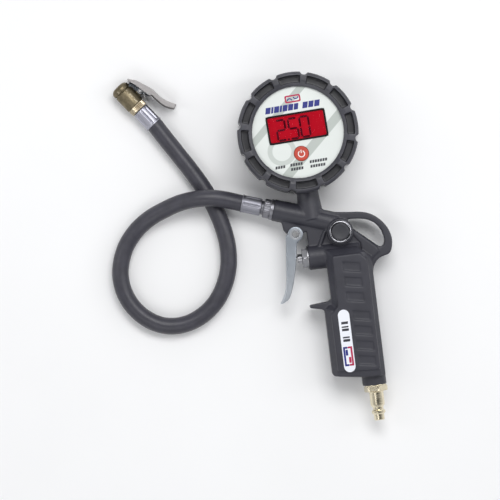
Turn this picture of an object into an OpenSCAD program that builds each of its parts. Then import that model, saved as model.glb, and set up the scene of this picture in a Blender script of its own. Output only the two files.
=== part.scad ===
// Tyre inflator: cast pistol, booted digital gauge, rubber hose and clip-on chuck.
// It lies on its side. +X runs to the rear of the pistol, +Y from the handle to the
// gauge, and +Z out of the gauge face. Every module is drawn about the gauge centre,
// and place() moves it to the row's origin, under the middle of the pistol.

/* [Gauge] */
// Outer radius of the rubber boot over its lobes
boot_r = 48.2; // [47.8:0.1:49]
// Height of the boot from its back to its front lip
boot_h = 42; // [41.5:0.5:44]
// Number of lobes round the boot
boot_lobes = 12; // [10:2:14]
// Radius of the gauge case
case_r = 38.2; // [37.9:0.1:38.4]
// Radius of the dial that shows inside the boot's lip
dial_r = 36.3; // [35.5:0.1:36.8]
// Turn of the gauge on its socket in degrees
gauge_turn = 2.5; // [0:0.5:3]
// Width of the display with its frame
display_w = 47.2; // [42:0.2:48]
// Height of the display with its frame
display_h = 22.3; // [20:0.1:23]
// Height of the display's middle above the gauge centre
display_up = 4.5; // [4:0.1:5]
// Radius of the power button
power_r = 5.8; // [4:0.1:6.5]
// Distance of the power button below the gauge centre
power_down = 17.1; // [16.4:0.1:17.6]

/* [Pistol] */
// Height of the pistol's middle plane above the ground
mid_z = 17; // [17:0.1:17.4]
// Radius of the outlet barrel
outlet_r = 8.8; // [8.4:0.1:9]
// Angle by which the outlet barrel rises towards its mouth
outlet_rise = 19; // [17:0.5:20]
// Radius of the valve barrel
valve_r = 10; // [9.6:0.1:10.4]
// Radius of the stem boss where it meets the gauge
stem_r = 8.6; // [8.2:0.1:8.8]
// Thickness of the handle without its side panels
handle_t = 31; // [30:0.5:31]
// Height of each raised side panel
panel_h = 1.5; // [1:0.1:1.5]
// Distance from the handle's front to its rear below the hook
handle_w = 42.1; // [41:0.1:42.5]
// Thickness of the hanging loop
loop_t = 13; // [10:0.5:15]
// Width of the finger hook across the handle
hook_w = 20; // [16:1:24]
// Number of grip recesses beside and above the label
grip_count = 7; // [5:1:7]

/* [Trigger and valves] */
// Width of the trigger
trigger_t = 15; // [14:0.5:15.5]
// Radius of the trigger's ears round its pin
ear_r = 6.2; // [5.6:0.1:6.3]
// Radius of the trigger pin
trigger_pin_r = 1.95; // [1.7:0.05:2]
// Radius of the valve stem that the trigger pushes
stem_pin_r = 2.15; // [2:0.05:2.2]
// Outer radius of the chromed ring round the bleed button
bleed_ring_r = 9.1; // [8.8:0.1:9.6]
// Radius of the bleed button
bleed_button_r = 7; // [6.6:0.05:7.4]

/* [Inlet plug] */
// Radius of the plug's body, which the coupler slides over
plug_r = 5.7; // [5.6:0.05:5.75]
// Radius of the plug's locking collar
plug_collar_r = 5.45; // [5:0.05:5.5]
// Radius of the plug's tip
plug_tip_r = 4.2; // [3.8:0.05:4.3]

/* [Hose and chuck] */
// Radius of the rubber hose
hose_r = 6.7; // [6.5:0.05:6.7]
// Radius of the crimped ferrules
ferrule_r = 7; // [6.9:0.05:7.1]
// Radius of the chuck's brass body
chuck_r = 7.8; // [7.6:0.05:7.9]
// Radius of the mouth that takes the tyre valve
mouth_r = 4.1; // [4:0.05:4.2]
// Half of the chuck lever's width
lever_half_w = 6.1; // [5.9:0.1:6.4]

/* [Hidden] */
$fn = 64;
eps = 0.01;
play = 0.05;

black_cast = [0.17, 0.17, 0.19];
rubber_black = [0.13, 0.13, 0.14];
steel = [0.62, 0.64, 0.66];
chrome = [0.8, 0.81, 0.83];
aluminium = [0.75, 0.76, 0.78];
silver_paint = [0.6, 0.64, 0.7];
brass = [0.72, 0.62, 0.36];

// Places of the main features, from the gauge centre
outlet_face = [-26.6, -58.6];
pivot = [-11.5, -80];
valve_face_x = -3.4;
valve_y = -100;
button = [24.1, -82.4];
inlet_x = 37.4;
inlet_boss_x = 36.9;
handle_rear_x = 46.3;
handle_front_x = handle_rear_x - handle_w;
handle_neck_x = 10.5;
handle_top_y = -95.6;
hook_y = -139;
handle_low_y = -200;
boss_end_y = -207.3;
hex_end_y = -212.4;
plug_len = 23.4;
loop_right_x = 64.6;

// The row's origin lies under the middle of the pistol's box
origin_x = (loop_right_x - boot_r) / 2;
origin_y = (hex_end_y - plug_len + boot_r) / 2;

// Heights inside the gauge
case_back_z = 3;
case_top_z = 36.6;
plate_top_z = 38.1;
lip_z = 39.4;
boot_floor = 2.6;
case_wall = 1.8;
display_border = 1.1;
board_z = 31;
boot_cavity_r = case_r + 0.3;
socket_r = 5.1;

// Screws in the back of the case
screw_places = [[-22, -14], [22, -14], [0, 27.6], [0, -27]];
screw_head_r = 2.2;
screw_shank_r = 1.25;

// Valve chamber along X, from the gland's face inwards
gland_r = 6.5;
gland_end_x = 11.5;
chamber_r = 6;
chamber_end_x = 31;
poppet_x = gland_end_x + 1.2;
poppet_back_x = poppet_x + 2.8;
stem_tip_x = -18.65;

// Bleed valve along Z
bleed_top_z = 29;
bleed_seat_z = 22;
bleed_floor_z = 10;
bleed_disc_z = 18.9;
bleed_disc_h = 2;
bleed_disc_r = 4;
bleed_stem_r = 1.6;
bleed_recess_z = 30.2;
bleed_cap_z = 32;

// Hose fittings along their own axes
fitting_neck = 10;
ferrule_len = 16;
ferrule_bore_r = 5.6;
barb_r = 3.4;
hose_depth = 14;

// Chuck along its own axis, from the ferrule's hose end to the mouth
chuck_base = [-113.3, 21.4];
chuck_lean = 37;
chuck_neck = 16.4;
chuck_foot = 21.3;
seal_top = 29;
mouth_y = 42;
lever_pivot = [10.4, 27];
lever_pin_r = 1.1;

// Upper edge of the chuck lever from its tip to its tail, and its lower edge back
lever_top = curve([[10.3, 41], [12, 38.2], [14.2, 35.2], [16.6, 28], [18.8, 20.6], [19.1, 12.7],
    [20.7, 6], [24, -0.5]], 3);
lever_under = curve([[19.8, -2], [16.1, 4], [14.8, 11.1], [14.3, 18.1], [12.6, 19.9],
    [11.3, 27], [10.2, 33.7], [9.4, 40.7]], 3);

// Centreline of the loose hose from the gun ferrule to the chuck ferrule
loose_route = [[-58, -47, 17.6], [-66, -45, 19.4], [-76, -43, 20.6],
    [-88, -42.5, 19.5], [-101, -44, 16], [-114, -48, 12], [-126, -53, 8.8],
    [-137, -60.5, 7], [-146, -70.5, 6.7], [-152, -82, 6.7], [-155, -95, 6.7],
    [-154, -108, 6.7], [-149, -120.5, 6.7], [-140, -131.5, 6.7], [-128, -139, 6.7],
    [-115, -141.5, 6.7], [-102, -139.5, 6.7], [-90, -133.5, 6.7], [-80, -124.5, 6.7],
    [-72.5, -112.5, 6.7], [-68, -99.5, 6.7], [-66.5, -86, 6.7], [-67.5, -73, 6.7],
    [-70.5, -59.5, 6.7], [-75, -46, 6.7], [-81, -32.5, 6.7], [-89, -18, 6.7],
    [-97, -5, 6.8], [-105, 8, 7.2]];

// ---------- functions ----------

function unit(v) = v / norm(v);
function clamp_index(pts, i) = pts[min(max(i, 0), len(pts) - 1)];

// Catmull-Rom curve through open points, with n steps in each span
function blend_point(a, b, c, d, t) = 0.5 * (2 * b + (c - a) * t
    + (2 * a - 5 * b + 4 * c - d) * t * t + (3 * b - a - 3 * c + d) * t * t * t);
function curve(pts, n = 4) = concat([for (i = [0:len(pts) - 2], k = [0:n - 1])
    blend_point(clamp_index(pts, i - 1), pts[i], pts[i + 1], clamp_index(pts, i + 2), k / n)],
    [pts[len(pts) - 1]]);

// Closed outline from corners [x, y, radius], each rounded by an arc of n steps
function turn_of(a) = a > 180 ? a - 360 : a < -180 ? a + 360 : a;
function corner_arc(a, b, c, r, n) = let (u = unit(a - b), v = unit(c - b),
    half = acos(u * v) / 2, centre = b + unit(u + v) * r / sin(half),
    from = b + u * r / tan(half) - centre, to = b + v * r / tan(half) - centre,
    start = atan2(from.y, from.x), sweep = turn_of(atan2(to.y, to.x) - start))
    [for (k = [0:n]) centre + r * [cos(start + sweep * k / n), sin(start + sweep * k / n)]];
function flat(p) = [p.x, p.y];
function rounded(pts, n = 6) = [for (i = [0:len(pts) - 1]) let (p = pts[i],
    before = pts[(i + len(pts) - 1) % len(pts)], after = pts[(i + 1) % len(pts)])
    each p.z == 0 ? [flat(p)] : corner_arc(flat(before), flat(p), flat(after), p.z, n)];

// Points of a helix about Z, rising from z0 to z1
function helix(r, z0, z1, turns, steps) = [for (i = [0:turns * steps])
    [r * cos(360 * i / steps), r * sin(360 * i / steps), z0 + (z1 - z0) * i / (turns * steps)]];

// Points on the outlet axis and on the chuck axis
function on_outlet(t) = [outlet_face.x - t * cos(outlet_rise),
    outlet_face.y + t * sin(outlet_rise), mid_z];
function on_chuck(t) = [chuck_base.x - t * sin(chuck_lean),
    chuck_base.y + t * cos(chuck_lean), chuck_r];

// ---------- placing and sweeping ----------

module place() {
    translate([-origin_x, -origin_y, 0]) children();
}

// Turns a shape drawn about Z so that its axis runs along X, or down along Y
module along_x() {
    rotate([0, 90, 0]) children();
}

module down_y() {
    rotate([90, 0, 0]) children();
}

module in_gauge() {
    place() rotate([0, 0, gauge_turn]) children();
}

// Local X runs out of the outlet barrel, from its end face
module outlet_axis() {
    translate([outlet_face.x, outlet_face.y, mid_z])
        rotate([0, 0, 180 - outlet_rise]) children();
}

module at_outlet() {
    place() outlet_axis() children();
}

module at_valve() {
    place() translate([0, valve_y, mid_z]) children();
}

module at_button() {
    place() translate([button.x, button.y, 0]) children();
}

// Local Y runs out of the chuck's mouth, and local X points at its lever
module at_chuck() {
    place() translate([chuck_base.x, chuck_base.y, chuck_r])
        rotate([0, 0, chuck_lean]) children();
}

// Side outline drawn in X and Y, as a plate of thickness t about the middle plane
module side_plate(points, t) {
    translate([0, 0, mid_z - t / 2]) linear_extrude(t) polygon(points);
}

// Ring about Z with a square section
module ring(outer, inner, h) {
    difference() {
        cylinder(r = outer, h = h);
        translate([0, 0, -1]) cylinder(r = inner, h = h + 2);
    }
}

// Round tube through points in space, with one radius for each point
module sweep(path, radii, sides) {
    last = len(path) - 1;
    rings = [for (i = [0:last])
        let (ahead = unit(clamp_index(path, i + 1) - clamp_index(path, i - 1)),
            across = unit(cross([0.01, 0.02, 1], ahead)), up = cross(ahead, across))
        for (k = [0:sides - 1]) path[i]
            + radii[i] * (cos(360 * k / sides) * across + sin(360 * k / sides) * up)];
    walls = [for (i = [0:last - 1], k = [0:sides - 1]) let (a = i * sides + k,
        b = i * sides + (k + 1) % sides) each [[a, a + sides, b + sides], [a, b + sides, b]]];
    caps = [[for (k = [0:sides - 1]) k], [for (k = [sides - 1:-1:0]) last * sides + k]];
    polyhedron(rings, concat(walls, caps));
}

// ---------- pistol ----------

// Bar with bevelled long edges, whose faces slope in towards its upper end
module handle_bar(front_x, top_y, low_y) {
    edge_x = 4.3;
    edge_z = 5.5;
    slope_y = 5.2;
    half = handle_t / 2;
    intersection() {
        translate([0, top_y, mid_z]) down_y() linear_extrude(top_y - low_y) polygon([
            [front_x, edge_z - half], [front_x + edge_x, -half],
            [handle_rear_x - edge_x, -half], [handle_rear_x, edge_z - half],
            [handle_rear_x, half - edge_z], [handle_rear_x - edge_x, half],
            [front_x + edge_x, half], [front_x, half - edge_z]]);
        translate([0, 0, mid_z]) rotate([90, 0, 90]) linear_extrude(60) polygon([
            [top_y, edge_z - half], [top_y - slope_y, -half], [low_y - 1, -half],
            [low_y - 1, half], [top_y - slope_y, half], [top_y, half - edge_z]]);
    }
}

module handle_core() {
    outline = rounded([[handle_neck_x, handle_top_y, 0], [35.6, handle_top_y, 2],
        [handle_rear_x, -105.2, 3], [handle_rear_x, handle_low_y, 0],
        [27, -199.4, 0], [handle_front_x, -196.2, 3], [handle_front_x, hook_y - 4.5, 3],
        [handle_neck_x, hook_y + 1.5, 3]]);
    intersection() {
        union() {
            handle_bar(handle_neck_x, handle_top_y, hook_y - 12);
            handle_bar(handle_front_x, hook_y, handle_low_y);
        }
        side_plate(outline, 2 * handle_t);
    }
}

module finger_hook() {
    side_plate(rounded([[12, -128, 0], [handle_neck_x, -136.3, 4.5], [-7.2, hook_y + 1.3, 1.1],
        [-7, hook_y - 1.1, 1.1], [handle_front_x, hook_y - 3.6, 3],
        [handle_front_x, -150, 0], [12, -150, 0]]), hook_w);
}

module side_panels() {
    outline = rounded([[15, -101, 1.5], [37, -101, 2], [42.8, -106.6, 2], [42.4, -195, 2],
        [8.8, -193, 2], [8.8, -147.5, 4], [15, -141, 5]]);
    side_plate(outline, handle_t + 2 * panel_h);
}

module grip_recesses() {
    pitch = 12;
    pad_w = 13.6;
    pad_h = 7.2;
    slant = 2.4;
    depth = 1;
    // The recesses beside the label stand further back than the ones above it
    for (i = [0:grip_count - 1]) {
        shift = i < 3 ? [22.8, -106.4] : [26, -109.8];
        for (z = [mid_z + handle_t / 2 + panel_h - depth, mid_z - handle_t / 2 - panel_h - 1])
            translate([shift.x, shift.y - i * pitch, z]) linear_extrude(depth + 1)
                polygon([[0, 0], [pad_w, -slant], [pad_w, -slant - pad_h], [0, -pad_h]]);
    }
}

module loop_plate() {
    outer = concat(curve([[11, -61.5], [14.5, -64], [18.5, -65.5], [26, -66.7], [34, -67.6],
        [42, -68.4], [49.6, -70.8], [56.2, -75.6], [61, -81.6], [63.8, -87.8],
        [loop_right_x, -93.6], [63.8, -99.4], [62.4, -102.8], [60.2, -104.8], [56.8, -105.6],
        [53.2, -106.9], [50.2, -109.2], [47.8, -112.8], [46.6, -117], [46.2, -122]]),
        [[20, -125], [18, -90], [12, -78], [4, -62]]);
    inner = curve([[30.6, -74.6], [32.4, -73.3], [38, -73.5], [45.6, -74.8], [51.6, -77.8],
        [55.9, -82.8], [58.1, -88.4], [58.5, -93.6], [57.2, -96.9], [54.4, -97.6],
        [51.6, -95.9], [46.8, -91.6], [39.8, -85.5], [33.4, -79.7], [31.2, -76.9]]);
    difference() {
        side_plate(outer, loop_t);
        side_plate(inner, loop_t + 2);
    }
}

module central_block() {
    block_t = 15.4;
    side_plate([[30, -77.8], [51, -97], [53.6, -101.4], [47.5, -105.8], [44, -112], [30, -112],
        [39.4, -98], [39.4, -93], [33, -84.6]], block_t);
}

module trigger_lug() {
    lug_t = 8.8;
    side_plate(rounded([[-22, -66, 0], [-2, -66, 0], [-2.6, -79, 2], [-9, -81, 0],
        [-16.8, -78.6, 0], [-18.4, -78.8, 1], [-20.6, -76, 1]]), lug_t);
    translate([pivot.x, pivot.y, mid_z - lug_t / 2]) cylinder(r = 5.4, h = lug_t);
}

module barrel_web() {
    web_t = 9;
    rib_t = 13;
    side_plate([[-3, -68], [30, -76], [30, -96], [-1.8, -94], [-2.2, -88]], web_t);
    side_plate([[10.8, -80], [13.6, -80], [7.2, -93], [4.4, -93]], rib_t);
}

module barrels() {
    outlet_len = 52;
    valve_len = 41;
    stem_len = 24;
    stem_flare = 1.4;
    bleed_boss_r = 10.4;
    bleed_boss_z = 5;
    inlet_boss_r = 9.6;
    inlet_boss_len = 15.3;
    outlet_axis() along_x() translate([0, 0, -outlet_len]) cylinder(r = outlet_r, h = outlet_len);
    translate([valve_face_x, valve_y, mid_z]) along_x() cylinder(r = valve_r, h = valve_len);
    rotate([0, 0, gauge_turn]) translate([0, -46, mid_z]) down_y()
        cylinder(r1 = stem_r, r2 = stem_r + stem_flare, h = stem_len);
    translate([button.x, button.y, bleed_boss_z])
        cylinder(r = bleed_boss_r, h = bleed_top_z - bleed_boss_z);
    translate([inlet_boss_x, boss_end_y + inlet_boss_len, mid_z]) down_y()
        cylinder(r = inlet_boss_r, h = inlet_boss_len);
}

module air_passages() {
    // Outlet socket and its passage back to the bleed valve
    outlet_axis() along_x() {
        translate([0, 0, -12]) cylinder(r = socket_r, h = 13);
        translate([0, 0, -54]) cylinder(r = 2.6, h = 50);
    }
    // Gauge socket and the passage from it down to the valve chamber
    rotate([0, 0, gauge_turn]) translate([0, -45, mid_z]) down_y() {
        cylinder(r = socket_r, h = 13);
        cylinder(r = 2, h = -valve_y - 45);
    }
    // Valve bore, chamber and the way on to the inlet
    translate([valve_face_x, valve_y, mid_z]) along_x() {
        translate([0, 0, -1]) cylinder(r = gland_r, h = gland_end_x - valve_face_x + 2);
        cylinder(r = chamber_r, h = chamber_end_x - valve_face_x);
        cylinder(r = 3, h = inlet_x - valve_face_x);
    }
    // Inlet socket and its passage up to the valve
    translate([inlet_x, valve_y, mid_z]) down_y() {
        cylinder(r = 3.2, h = valve_y - boss_end_y - 4);
        translate([0, 0, valve_y - boss_end_y - 13]) cylinder(r = gland_r, h = 14);
    }
    // Bleed valve bore
    translate([button.x, button.y, 0]) {
        translate([0, 0, bleed_seat_z]) cylinder(r = gland_r, h = 20);
        translate([0, 0, bleed_floor_z]) cylinder(r = 4.6, h = 20);
    }
}

module gun_body() {
    color(black_cast) place() difference() {
        union() {
            barrels();
            barrel_web();
            trigger_lug();
            central_block();
            loop_plate();
            handle_core();
            finger_hook();
            side_panels();
        }
        air_passages();
        grip_recesses();
        translate([pivot.x, pivot.y, 0]) cylinder(r = trigger_pin_r, h = 40);
    }
}

module handle_label() {
    label_w = 9.1;
    label_len = 50;
    label_t = 0.4;
    color("white") place()
        translate([18.4, -169.2, mid_z + handle_t / 2 + panel_h]) linear_extrude(label_t) union() {
            square([label_w, label_len - label_w], center = true);
            for (end = [-1, 1])
                translate([0, end * (label_len - label_w) / 2]) circle(d = label_w);
        }
}

module trigger() {
    front = curve([[-19.4, -80.4], [-21.1, -97.6], [-23.6, -119], [-26.3, -127.6],
        [-30.4, -134.3]]);
    rear = curve([[-28.2, -134], [-25.4, -132.6], [-22.3, -130.3], [-18.7, -121.9],
        [-15.1, -109.3], [-12.7, -96.9], [-11.1, -87.8], [-7.4, -84.4]]);
    hollow = [[-17.3, -70], [-18.7, -97.6], [-21.2, -119], [-22.4, -123.5], [-8, -123.5], [2, -70]];
    color(silver_paint) place() difference() {
        union() {
            side_plate(concat(front, rear, [[-9, -77.6], [-16.6, -78.4]]), trigger_t);
            translate([pivot.x, pivot.y, mid_z - trigger_t / 2]) cylinder(r = ear_r, h = trigger_t);
        }
        side_plate(hollow, 9.4);
        translate([pivot.x, pivot.y, 0]) cylinder(r = trigger_pin_r + play, h = 40);
    }
}

module trigger_pin() {
    low_z = mid_z - trigger_t / 2 - 1.6;
    top_z = mid_z + trigger_t / 2;
    color(steel) place() translate([pivot.x, pivot.y, 0]) difference() {
        union() {
            translate([0, 0, low_z]) cylinder(r = trigger_pin_r, h = top_z - low_z);
            translate([0, 0, top_z + play]) cylinder(r1 = 2.9, r2 = 2.5, h = 1.2);
            translate([0, 0, top_z - eps]) cylinder(r = trigger_pin_r, h = 0.2);
        }
        translate([-3, -0.35, top_z + 0.75]) cube([6, 0.7, 1]);
    }
}

module trigger_pin_clip() {
    color(steel) place() translate([pivot.x, pivot.y, mid_z - trigger_t / 2 - 1.1]) difference() {
        ring(3.6, trigger_pin_r, 0.8);
        translate([-0.8, 0, -1]) cube([1.6, 5, 3]);
    }
}

// ---------- trigger valve ----------

module gland_nut() {
    nut_x = -8.3;
    boss_x = -12.1;
    port_x = 4.6;
    color(chrome) at_valve() difference() {
        union() {
            translate([nut_x, 0, 0]) along_x() cylinder(r = 8.7, h = -4.4 - nut_x, $fn = 6);
            translate([boss_x, 0, 0]) along_x() cylinder(r = 3.8, h = 5);
            translate([-4.5, 0, 0]) along_x() cylinder(r = gland_r - play, h = gland_end_x + 4.5);
        }
        translate([boss_x - 1, 0, 0]) along_x() cylinder(r = stem_pin_r + play, h = 30);
        translate([1, 0, 0]) along_x() cylinder(r = 4, h = 20);
        translate([-3, 0, 0]) along_x() cylinder(r = 3.6, h = 1.8);
        for (a = [0:90:270])
            rotate([a, 0, 0]) translate([port_x, 0, 0]) cylinder(r = 1.5, h = 10);
    }
}

module gland_washer() {
    color(chrome) at_valve() translate([-4.4, 0, 0]) along_x() ring(9.6, gland_r, 1);
}

module valve_stem() {
    dome_h = 0.6;
    color(steel) at_valve() translate([stem_tip_x, 0, 0]) along_x() {
        translate([0, 0, dome_h]) cylinder(r = stem_pin_r, h = poppet_x - stem_tip_x - dome_h);
        cylinder(r1 = stem_pin_r - 0.8, r2 = stem_pin_r, h = dome_h);
    }
}

module stem_seal() {
    color(rubber_black) at_valve() translate([-2.9, 0, 0]) along_x()
        ring(3.6, stem_pin_r + play, 1.6);
}

module valve_poppet() {
    color(brass) at_valve() translate([poppet_x, 0, 0]) along_x() {
        cylinder(r = 5.2, h = poppet_back_x - poppet_x);
        cylinder(r = 2.4, h = 6);
    }
}

module poppet_seal() {
    color(rubber_black) at_valve() translate([gland_end_x + play, 0, 0]) along_x()
        ring(5.2, stem_pin_r, poppet_x - gland_end_x - play);
}

module valve_spring() {
    wire_r = 0.5;
    path = helix(4, poppet_back_x + wire_r + 0.1, chamber_end_x - wire_r - 0.1, 6, 9);
    color(steel) at_valve() along_x() sweep(path, [for (p = path) wire_r], 5);
}

// ---------- bleed valve ----------

module bleed_ring() {
    ring_h = 4.2;
    bevel = 0.7;
    color(chrome) at_button() difference() {
        union() {
            translate([0, 0, bleed_top_z]) cylinder(r = bleed_ring_r, h = ring_h - bevel);
            translate([0, 0, bleed_top_z + ring_h - bevel])
                cylinder(r1 = bleed_ring_r, r2 = bleed_ring_r - bevel, h = bevel);
            translate([0, 0, bleed_seat_z + eps])
                cylinder(r = gland_r - play, h = bleed_top_z - bleed_seat_z);
        }
        translate([0, 0, bleed_recess_z]) cylinder(r = bleed_button_r + 0.3, h = 5);
        cylinder(r = bleed_stem_r + play, h = 40);
    }
}

module bleed_button() {
    side_h = 1.8;
    color(rubber_black) at_button() translate([0, 0, bleed_cap_z]) {
        cylinder(r = bleed_button_r, h = side_h);
        translate([0, 0, side_h]) cylinder(r1 = bleed_button_r, r2 = bleed_button_r - 0.8, h = 0.6);
    }
}

module bleed_stem() {
    color(brass) at_button() translate([0, 0, bleed_disc_z]) {
        cylinder(r = bleed_disc_r, h = bleed_disc_h);
        cylinder(r = bleed_stem_r, h = bleed_cap_z - bleed_disc_z);
    }
}

module bleed_seal() {
    seal_z = bleed_disc_z + bleed_disc_h;
    color(rubber_black) at_button() translate([0, 0, seal_z])
        ring(bleed_disc_r, bleed_stem_r, bleed_seat_z - seal_z - play);
}

module bleed_spring() {
    wire_r = 0.4;
    path = helix(3, bleed_floor_z + wire_r + 0.1, bleed_disc_z - wire_r - 0.1, 5, 9);
    color(steel) at_button() sweep(path, [for (p = path) wire_r], 5);
}

// ---------- inlet ----------

module inlet_plug() {
    body_len = 11;
    collar_at = 15;
    tip_bevel = 0.6;
    color(brass) place() translate([inlet_x, boss_end_y, mid_z]) down_y() difference() {
        union() {
            translate([0, 0, -11]) cylinder(r = gland_r - play, h = 12);
            translate([0, 0, 0.9]) rotate([0, 0, 15])
                cylinder(r = 9.6, h = boss_end_y - hex_end_y - 0.9, $fn = 6);
            translate([0, 0, boss_end_y - hex_end_y - eps]) {
                cylinder(r = plug_r, h = body_len);
                translate([0, 0, body_len]) cylinder(r1 = plug_r, r2 = plug_tip_r, h = 2);
                cylinder(r = plug_tip_r, h = plug_len + eps - tip_bevel);
                translate([0, 0, plug_len + eps - tip_bevel])
                    cylinder(r1 = plug_tip_r, r2 = plug_tip_r - tip_bevel, h = tip_bevel);
                translate([0, 0, collar_at])
                    cylinder(r1 = plug_tip_r, r2 = plug_collar_r, h = 1);
                translate([0, 0, collar_at + 1]) cylinder(r = plug_collar_r, h = 1.6);
                translate([0, 0, collar_at + 2.6])
                    cylinder(r1 = plug_collar_r, r2 = plug_tip_r, h = 1.2);
            }
        }
        translate([0, 0, -20]) cylinder(r = 2.6, h = 60);
    }
}

module inlet_washer() {
    color(brass) place() translate([inlet_x, boss_end_y, mid_z]) down_y() ring(8.6, gland_r, 0.9);
}

// ---------- gauge ----------

module gauge_boot() {
    step = 360 / boot_lobes;
    pocket_in = boot_cavity_r + 0.8;
    pocket_out = boot_r - 3;
    pocket_span = 23;
    pocket_h = 6;
    notch_r = 3;
    color(rubber_black) in_gauge() difference() {
        rotate_extrude() polygon([[30, 0], [46, 0], [boot_r, 2.2], [boot_r, boot_h - 2.6],
            [46.6, boot_h - 0.3], [45.6, boot_h], [40.6, boot_h], [39.4, boot_h - 0.5],
            [dial_r, boot_h - 1.9], [dial_r, lip_z], [boot_cavity_r, lip_z],
            [boot_cavity_r, boot_floor], [30, boot_floor]]);
        // Notches between the lobes
        for (i = [0:boot_lobes - 1])
            rotate([0, 0, (i + 0.5) * step]) translate([boot_r + 0.6, 0, -1])
                cylinder(r = notch_r, h = boot_h + 2);
        // Pocket in the front of each lobe
        for (i = [0:boot_lobes - 1])
            rotate([0, 0, i * step - pocket_span / 2]) translate([0, 0, boot_h - pocket_h])
                rotate_extrude(angle = pocket_span) translate([pocket_in, 0])
                    square([pocket_out - pocket_in, pocket_h + 1]);
        // Way out for the socket and the stem boss
        translate([0, -38, mid_z]) down_y() cylinder(r = 10.2, h = 14);
    }
}

module gauge_case() {
    color("dimgray") in_gauge() difference() {
        translate([0, 0, case_back_z]) cylinder(r = case_r, h = case_top_z - case_back_z);
        translate([0, 0, case_back_z + 2]) cylinder(r = case_r - case_wall, h = 60);
        translate([0, -30, mid_z]) down_y() cylinder(r = socket_r + 0.2, h = 14);
        translate([-25, 0, 0]) cube([50, 26, 20]);
        for (p = screw_places)
            translate([p.x, p.y, 0]) cylinder(r = screw_shank_r + play, h = 20);
    }
}

module battery_cover() {
    color("dimgray") in_gauge() translate([-24.8, 0.2, case_back_z]) union() {
        cube([49.6, 25.6, 1.9]);
        for (i = [0:4]) translate([18 + 3 * i, 8, -0.4]) cube([1.2, 10, 1]);
    }
}

module case_screws() {
    head_h = 1;
    color(steel) in_gauge() for (p = screw_places) translate([p.x, p.y, 0]) difference() {
        union() {
            translate([0, 0, case_back_z - head_h]) cylinder(r = screw_head_r, h = head_h);
            translate([0, 0, case_back_z - eps]) cylinder(r = screw_shank_r, h = 6);
        }
        translate([0, 0, case_back_z - 1.5 * head_h]) cylinder(r = 1, h = head_h, $fn = 6);
    }
}

module gauge_bezel() {
    color("dimgray") in_gauge() translate([0, 0, plate_top_z])
        ring(case_r, 37, lip_z - plate_top_z - play);
}

module face_plate() {
    color("white") in_gauge() difference() {
        translate([0, 0, case_top_z]) cylinder(r = case_r - 0.1, h = plate_top_z - case_top_z);
        translate([0, display_up, case_top_z]) cube([display_w, display_h, 10], center = true);
        translate([0, -power_down, 20]) cylinder(r = power_r + 0.3, h = 30);
    }
}

// Block in the display's opening, narrower than it by border on every side
module display_block(z, h, border) {
    in_gauge() translate([0, display_up, z]) linear_extrude(h)
        square([display_w - 2 * border, display_h - 2 * border], center = true);
}

module display_frame() {
    color("black") difference() {
        display_block(case_top_z, plate_top_z - case_top_z + 0.2, 0);
        display_block(case_top_z - 1, 5, display_border);
    }
}

module display_window() {
    color([0.8, 0.9, 1, 0.3]) display_block(plate_top_z - 0.4, 0.5, display_border);
}

module display_panel() {
    color([0.85, 0, 0.08]) display_block(plate_top_z - 2.6, 2.1, display_border + 0.1);
}

module power_button() {
    color([0.85, 0.2, 0.12]) in_gauge() translate([0, -power_down, plate_top_z - 0.9]) {
        cylinder(r = power_r, h = 1.2);
        translate([0, 0, 1.2]) cylinder(r1 = power_r, r2 = power_r - 0.5, h = 0.3);
    }
}

module circuit_board() {
    color([0.05, 0.3, 0.15]) in_gauge() difference() {
        union() {
            translate([0, 0, board_z]) cylinder(r = case_r - case_wall - 0.4, h = 1.6);
            translate([-16, display_up - 5, board_z + 1.5]) cube([32, 10, 2.8]);
            translate([-4, -power_down - 4, board_z + 1.5]) cube([8, 8, 3.6]);
        }
        for (x = [-30, 30]) translate([x, 0, 20]) cylinder(r = 1.6, h = 20);
    }
}

module battery_cells() {
    cell_r = 5.2;
    cell_len = 43.5;
    color([0.25, 0.4, 0.3]) in_gauge() for (y = [7, 19])
        translate([-22, y, 12]) along_x() {
            cylinder(r = cell_r, h = cell_len);
            translate([0, 0, cell_len - eps]) cylinder(r = 1.8, h = 1);
        }
}

module pressure_sensor() {
    color(steel) in_gauge() translate([0, -22, mid_z]) down_y() cylinder(r = 7, h = 12);
}

module gauge_socket() {
    color(brass) in_gauge() translate([0, -34, mid_z]) down_y() difference() {
        union() {
            cylinder(r = socket_r - play, h = 22);
            translate([0, 0, 6.4]) cylinder(r = 8, h = 3.6, $fn = 6);
        }
        translate([0, 0, -1]) cylinder(r = 1.5, h = 40);
    }
}

module socket_seal() {
    color(rubber_black) in_gauge() translate([0, -44, mid_z]) down_y() ring(7.6, socket_r, 2);
}

// ---------- hose and its fittings ----------

// Longitudinal crimp grooves round a ferrule that runs along Z
module crimped_sleeve(len, grooves) {
    groove_r = 1.1;
    difference() {
        cylinder(r = ferrule_r, h = len);
        translate([0, 0, -1]) cylinder(r = ferrule_bore_r, h = len + 2);
        for (i = [0:grooves - 1])
            rotate([0, 0, (i + 0.25) * 360 / grooves]) translate([ferrule_r + 0.5, 0, 2])
                cylinder(r = groove_r, h = len - 3.6);
    }
}

module outlet_fitting() {
    flutes = 18;
    color(chrome) at_outlet() along_x() difference() {
        union() {
            translate([0, 0, -11]) cylinder(r = socket_r - play, h = 12);
            cylinder(r = 8.3, h = 2.4);
            translate([0, 0, 2.3]) cylinder(r1 = 7.9, r2 = 7.4, h = 5.5);
            cylinder(r = 5.5, h = fitting_neck + 1);
            cylinder(r = barb_r, h = fitting_neck + ferrule_len - 2);
        }
        translate([0, 0, -12]) cylinder(r = 1.6, h = 50);
        for (i = [0:flutes - 1])
            rotate([0, 0, i * 360 / flutes]) translate([8.5, 0, 2.6]) cylinder(r = 1, h = 6);
    }
}

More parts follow.
